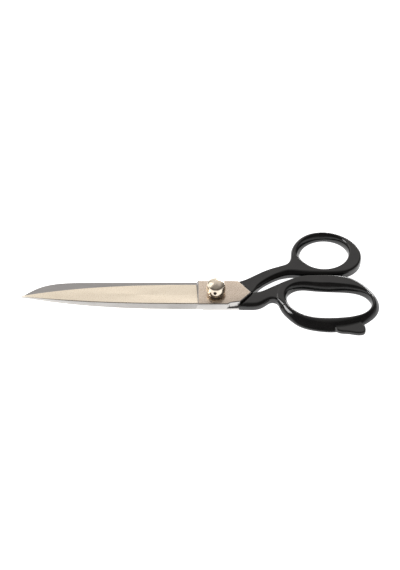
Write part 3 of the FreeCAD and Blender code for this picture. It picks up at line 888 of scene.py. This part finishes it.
def nut_profile():
    """Half of the nut's section, from the end of its bore round the foot and barrel to the dome's top."""
    foot = NUT_FOOT
    shoulder = foot + NECK_HEIGHT
    profile = [(0, foot + NUT_BORE_DEPTH), (NUT_BORE, foot + NUT_BORE_DEPTH)]
    profile += [(NUT_BORE, foot + 0.4), (NUT_BORE + 0.4, foot), (NECK_RADIUS - 0.25, foot)]
    profile += [(NECK_RADIUS, foot + 0.25), (NECK_RADIUS, shoulder - 0.2), (NECK_RADIUS + 0.2, shoulder)]
    barrel = shoulder + SHOULDER_ROUND
    profile += arc((NUT_RADIUS - SHOULDER_ROUND, barrel), SHOULDER_ROUND, -90, 0, 6)
    for i in range(1, 13):
        part = i / 13
        bulge = BARREL_BULGE * 4 * part * (1 - part)
        radius = NUT_RADIUS + (CROWN_RADIUS - NUT_RADIUS) * part**BARREL_TAPER + bulge
        profile.append((radius, barrel + (CROWN_HEIGHT - NECK_HEIGHT - SHOULDER_ROUND) * part))
    ball = (CROWN_RADIUS**2 + DOME**2) / (2 * DOME)
    rim = math.degrees(math.asin(CROWN_RADIUS / ball))
    return profile + arc((0, foot + CROWN_HEIGHT + DOME - ball), ball, 90 - rim * 0.96, 90, 20)


def in_nut_side(points):
    """Points round an upright axis, laid along the axis of the hole in the nut's side."""
    turn = Matrix.Rotation(math.radians(-LOCK_ANGLE), 3, "Z") @ Matrix.Rotation(math.radians(90), 3, "X")
    lift = Vector((0, 0, NUT_FOOT + LOCK_LEVEL))
    return [tuple(turn @ Vector(point) + lift) for point in points]


def ball_nut(material):
    """The ball nut: a narrow foot, a swelling barrel with soft shoulders and a shallow dome."""
    points, faces = turned_mesh(nut_profile(), 128)
    piece = new_piece("ball_nut_turned", points, faces, "ball_nut", ["ball_nut"])
    tidy_mesh(piece)
    hole = LOCK_RADIUS + 0.05
    mouth = [(0, 3.0), (hole, 3.0), (hole, NUT_RADIUS - 0.55)]
    mouth += [(LOCK_RADIUS + 0.9, NUT_RADIUS + 0.4), (0, NUT_RADIUS + 0.4)]
    points, faces = turned_mesh(mouth, 48)
    cut_away(piece, mesh_object("lock_hole", in_nut_side(points), faces))
    soften_edges(piece, 0.12, 30)
    shade(piece, [material], crisp=24)


def lock_screw(material):
    """The slotted grub screw sunk in the nut's side."""
    inner, outer = LOCK_FOOT, NUT_RADIUS - LOCK_SUNK
    end = LOCK_RADIUS - LOCK_CHAMFER
    profile = [(0, inner), (end, inner), (LOCK_RADIUS, inner + LOCK_CHAMFER)]
    profile += [(LOCK_RADIUS, outer - LOCK_CHAMFER), (end, outer), (0, outer)]
    points, faces = turned_mesh(profile, 40)
    placed = in_nut_side(points)
    piece = new_piece("lock_screw_slotted", placed, faces, "ball_nut", ["lock_screw"])
    tidy_mesh(piece)
    plan = [(-2, -SLOT_HALF), (2, -SLOT_HALF), (2, SLOT_HALF), (-2, SLOT_HALF)]
    slot = [(x, y, z) for z in (outer - SLOT_DEPTH, outer + 1) for x, y in plan]
    sides = [[3, 2, 1, 0], [4, 5, 6, 7], [0, 1, 5, 4], [1, 2, 6, 5], [2, 3, 7, 6], [3, 0, 4, 7]]
    cut_away(piece, mesh_object("slot", in_nut_side(slot), sides))
    shade(piece, [material], crisp=24)


# ---------------------------------------------------------------- floor, light and camera

FLOOR_REACH = 3000.0


def floor():
    """A plain white light table."""
    reach = FLOOR_REACH
    corners = [(-reach, -reach, 0), (reach, -reach, 0), (reach, reach, 0), (-reach, reach, 0)]
    plane = mesh_object("floor", corners, [[0, 1, 2, 3]])
    shader = Shader("floor", Roughness=0.9, Emission_Color=(1, 1, 1, 1), Emission_Strength=1.25)
    shader.bsdf.inputs["Base Color"].default_value = (0.6, 0.6, 0.6, 1)
    plane.data.materials.append(shader.material)


# The room's colour at a height z of a direction, as (z, colour): behind the shears, to both sides of
# that and in front.
BEHIND = [
    (0.0, (1.0, 0.98, 0.95)), (0.3, (1.0, 0.97, 0.92)), (0.77, (0.9, 0.87, 0.85)),
    (0.9, (0.6, 0.58, 0.57)), (1.0, (0.4, 0.39, 0.38)),
]
WINGS = [
    (0.0, (0.5, 0.5, 0.5)), (0.12, (0.15, 0.14, 0.13)), (0.7, (0.2, 0.19, 0.18)),
    (1.0, (0.4, 0.39, 0.38)),
]
FRONT = [
    (0.0, (1.0, 1.0, 1.0)), (0.17, (0.95, 0.94, 0.93)), (0.28, (0.1, 0.09, 0.085)),
    (0.9, (0.08, 0.075, 0.07)), (1.0, (0.4, 0.39, 0.38)),
]


def studio():
    """A room with a bright wall behind, dark walls at both sides and a dark wall in front, over a bright
    strip along the table."""
    world = bpy.data.worlds.new("studio")
    bpy.context.scene.world = world
    world.use_nodes = True
    tree = world.node_tree
    coordinates = tree.nodes.new("ShaderNodeTexCoord")
    parts = tree.nodes.new("ShaderNodeSeparateXYZ")
    tree.links.new(coordinates.outputs["Generated"], parts.inputs[0])

    def blend(source, start, end, one, other):
        """One colour where the source is below start, the other where it is past end."""
        share = tree.nodes.new("ShaderNodeMapRange")
        share.inputs["From Min"].default_value = start
        share.inputs["From Max"].default_value = end
        tree.links.new(source, share.inputs["Value"])
        mix = tree.nodes.new("ShaderNodeMix")
        mix.data_type = "RGBA"
        tree.links.new(share.outputs[0], mix.inputs["Factor"])
        tree.links.new(one, mix.inputs["A"])
        tree.links.new(other, mix.inputs["B"])
        return mix.outputs["Result"]

    behind, wings, front = (colour_ramp(tree, parts.outputs["Z"], stops) for stops in (BEHIND, WINGS, FRONT))
    sideways = tree.nodes.new("ShaderNodeMath")
    sideways.operation = "ABSOLUTE"
    tree.links.new(parts.outputs["X"], sideways.inputs[0])
    back = blend(sideways.outputs[0], 0.35, 0.62, behind, wings)
    room = blend(parts.outputs["Y"], -0.25, 0.35, front, back)
    tree.links.new(room, tree.nodes["Background"].inputs["Color"])


def area_light(name, place, size, power, colour=(1, 1, 1)):
    """A soft box aimed at the pivot."""
    lamp = bpy.data.lights.new(name, "AREA")
    lamp.shape = "RECTANGLE"
    lamp.size, lamp.size_y = size
    lamp.energy = power
    lamp.color = colour
    box = bpy.data.objects.new(name, lamp)
    box.location = place
    box.rotation_euler = (-Vector(place)).to_track_quat("-Z", "Y").to_euler()
    bpy.context.scene.collection.objects.link(box)


CAMERA_TARGET = (-0.0136, 0.0125, 0.00585)
CAMERA_ELEVATION = 50
CAMERA_DISTANCE = 13.486
CAMERA_LENS = 1000


def camera():
    """The view from in front and above, through a long lens."""
    lens = bpy.data.cameras.new("camera")
    lens.lens = CAMERA_LENS
    lens.sensor_width = 36
    eye = bpy.data.objects.new("camera", lens)
    elevation = math.radians(CAMERA_ELEVATION)
    back = Vector((0, -math.cos(elevation), math.sin(elevation)))
    eye.location = Vector(CAMERA_TARGET) + back * CAMERA_DISTANCE
    eye.rotation_euler = (-back).to_track_quat("-Z", "Y").to_euler()
    lens.clip_start = 1
    lens.clip_end = 40
    bpy.context.scene.collection.objects.link(eye)
    bpy.context.scene.camera = eye


def main():
    """Makes the pieces, gives the CAD nodes that stay their materials, and sets the stage."""
    enamelled = enamel()
    nickel = polished_nickel()
    ground = [blade_face(), blade_back(), inner_face(), plate_face()]
    shears_half(THUMB, ground)
    shears_half(FINGER, ground)
    thumb_handle(enamelled)
    finger_handle(enamelled)
    ball_nut(nickel)
    lock_screw(turned_steel("blackened_steel", (0.05, 0.045, 0.04), (0.12, 0.10, 0.09), 0.3, 0.5))
    nodes["thrust_washer"].data.materials[0] = nickel
    bolt = turned_steel("turned_steel", (0.50, 0.48, 0.46), (0.64, 0.61, 0.58), 0.2, 0.38)
    nodes["pivot_bolt"].data.materials[0] = bolt
    spring = turned_steel("spring_steel", (0.30, 0.29, 0.28), (0.45, 0.43, 0.41), 0.25, 0.45)
    nodes["spring_washer"].data.materials[0] = spring
    floor()
    studio()
    area_light("key", (-1.05, 0.85, 1.15), (1.1, 1.1), 6, (1.0, 0.98, 0.95))
    area_light("left", (-1.5, -0.1, 0.95), (0.5, 0.5), 8)
    area_light("back_right", (0.6, 1.7, 0.27), (0.9, 0.42), 16)
    camera()
    bpy.context.scene.view_settings.view_transform = "Standard"


main()
